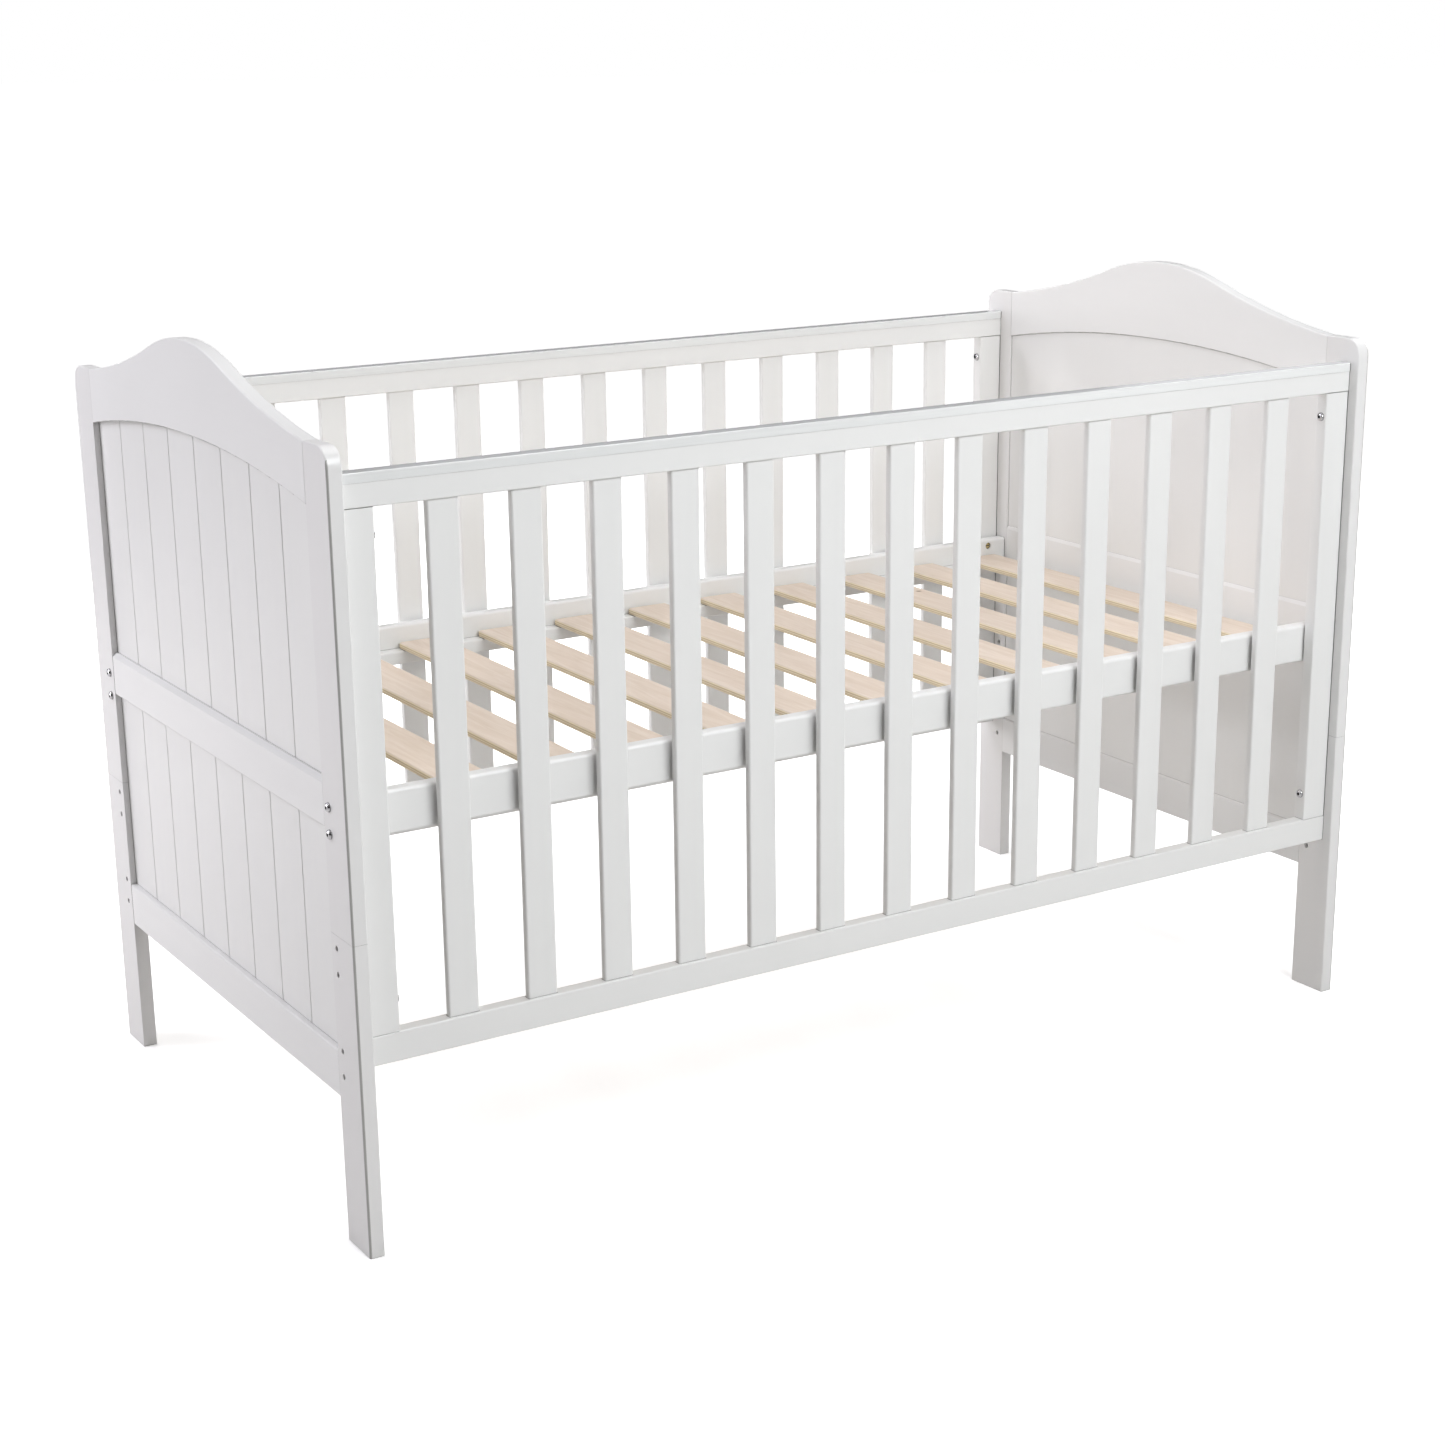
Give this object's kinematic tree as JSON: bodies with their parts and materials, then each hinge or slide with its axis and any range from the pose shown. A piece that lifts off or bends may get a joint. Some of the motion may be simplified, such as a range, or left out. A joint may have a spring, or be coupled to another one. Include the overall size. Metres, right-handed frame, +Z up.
{
  "type": "baby crib",
  "caption": "Painted wooden cot bed: boarded ends with a camel-back crest, fixed slatted sides and a plywood slat base that bolts on at different heights.",
  "frame": {"origin": "on the floor, under the middle of the crib", "axes": "+X along the crib, -Y towards the front side, +Z up"},
  "size_m": [1.4566, 0.777, 0.9659],
  "materials": {
    "white_paint": "satin white paint",
    "cover_plastic": "gloss white plastic",
    "birch_ply": "sanded birch plywood",
    "bolt_steel": "bright plated steel",
    "nut_brass": "yellow zinc",
    "dowel_beech": "bare beech",
    "pin_steel": "plain"
  },
  "bodies": {
    "root": {"left_front_upper_post": "white_paint", "left_rear_upper_post": "white_paint", "left_front_leg": "white_paint", "left_rear_leg": "white_paint", "left_crest_rail": "white_paint", "left_mid_rail": "white_paint", "left_bottom_rail": "white_paint", "left_upper_panel": "white_paint", "left_lower_panel": "white_paint", "right_front_upper_post": "white_paint", "right_rear_upper_post": "white_paint", "right_front_leg": "white_paint", "right_rear_leg": "white_paint", "right_crest_rail": "white_paint", "right_mid_rail": "white_paint", "right_bottom_rail": "white_paint", "right_upper_panel": "white_paint", "right_lower_panel": "white_paint", "front_top_rail": "white_paint", "front_bottom_rail": "white_paint", "front_left_stile": "white_paint", "front_right_stile": "white_paint", "front_spindles": "white_paint", "front_teething_cover": "cover_plastic", "base_front_rail": "white_paint", "base_front_ledger": "white_paint", "rear_top_rail": "white_paint", "rear_bottom_rail": "white_paint", "rear_left_stile": "white_paint", "rear_right_stile": "white_paint", "rear_spindles": "white_paint", "rear_teething_cover": "cover_plastic", "base_rear_rail": "white_paint", "base_rear_ledger": "white_paint", "base_slat_01": "birch_ply", "base_slat_02": "birch_ply", "base_slat_03": "birch_ply", "base_slat_04": "birch_ply", "base_slat_05": "birch_ply", "base_slat_06": "birch_ply", "base_slat_07": "birch_ply", "base_slat_08": "birch_ply", "base_slat_09": "birch_ply", "base_slat_10": "birch_ply", "base_slat_11": "birch_ply", "base_slat_12": "birch_ply", "base_bolts": "bolt_steel", "side_bolts": "bolt_steel", "base_barrel_nuts": "nut_brass", "side_inserts": "nut_brass", "leg_dowels": "dowel_beech", "end_rail_dowels": "dowel_beech", "side_frame_dowels": "dowel_beech", "slat_pins": "pin_steel"}
  },
  "joints": []
}
